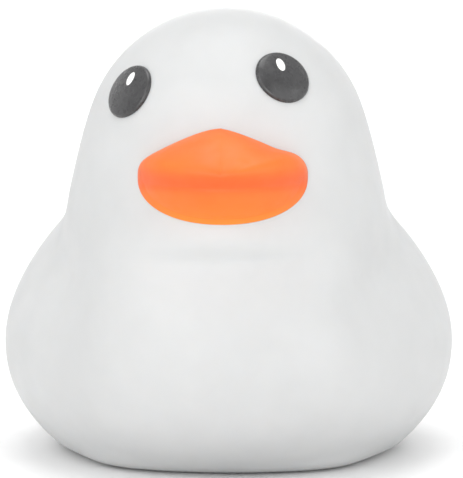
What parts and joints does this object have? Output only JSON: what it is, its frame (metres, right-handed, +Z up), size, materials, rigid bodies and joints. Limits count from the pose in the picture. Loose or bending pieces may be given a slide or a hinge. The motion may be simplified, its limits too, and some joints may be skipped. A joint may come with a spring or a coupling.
{
  "type": "floating chlorine dispenser",
  "caption": "Duck-shaped pool float with a tablet basket in a well in its flat base, a screw-in lock ring and a rotary vent dial.",
  "frame": {"origin": "centre of the flat base plate's underside, where the dispenser stands on a surface, under the middle of its overall box", "axes": "+Z up, along the well's axis; -Y the way the bill points; +X towards the duck's own left"},
  "size_m": [0.2108, 0.237, 0.2069],
  "materials": {
    "shell_white": "satin moulded polyethylene, smooth",
    "bill_orange": "satin moulded vinyl",
    "eye_dark": "gloss dark grey with a printed white glint",
    "base_grey": "fine spark-eroded moulding texture",
    "basket_white": "natural moulded polypropylene",
    "control_blue": "satin moulded plastic",
    "nut_nylon": "natural nylon",
    "seal_rubber": "matt",
    "stainless": "plain stainless"
  },
  "bodies": {
    "float": {"duck_shell": "shell_white", "bill": "bill_orange", "eye_right": "eye_dark", "eye_left": "eye_dark", "eye_nut_right": "nut_nylon", "eye_nut_left": "nut_nylon", "bill_nut_right": "nut_nylon", "bill_nut_left": "nut_nylon", "vent_plug": "shell_white", "base_plate": "base_grey", "base_gasket": "seal_rubber", "base_screw_1": "stainless", "base_screw_2": "stainless", "base_screw_3": "stainless", "base_screw_4": "stainless", "base_screw_5": "stainless", "base_screw_6": "stainless"},
    "basket": {"tablet_basket": "basket_white", "dial_screw": "stainless", "wave_washer": "stainless", "slip_washer": "seal_rubber"},
    "dial": {"vent_dial": "control_blue"},
    "ring": {"lock_ring": "control_blue"}
  },
  "joints": [
    {"name": "basket_drop", "type": "slide", "parent": "float", "child": "basket", "axis": [0, 0, -1], "range_m": [0, 0.0075]},
    {"name": "ring_turn", "type": "hinge", "parent": "basket", "child": "ring", "pos_m": [0, 0, 0.0055], "axis": [0, 0, -1], "range_deg": [0, 540]},
    {"name": "dial_turn", "type": "hinge", "parent": "basket", "child": "dial", "pos_m": [0, 0, 0.0096], "axis": [0, 0, -1], "range_deg": [0, 30]}
  ],
  "couplings": [
    {"joint": "basket_drop", "follows": "ring_turn", "m_per_rad": 0.00079577}
  ]
}
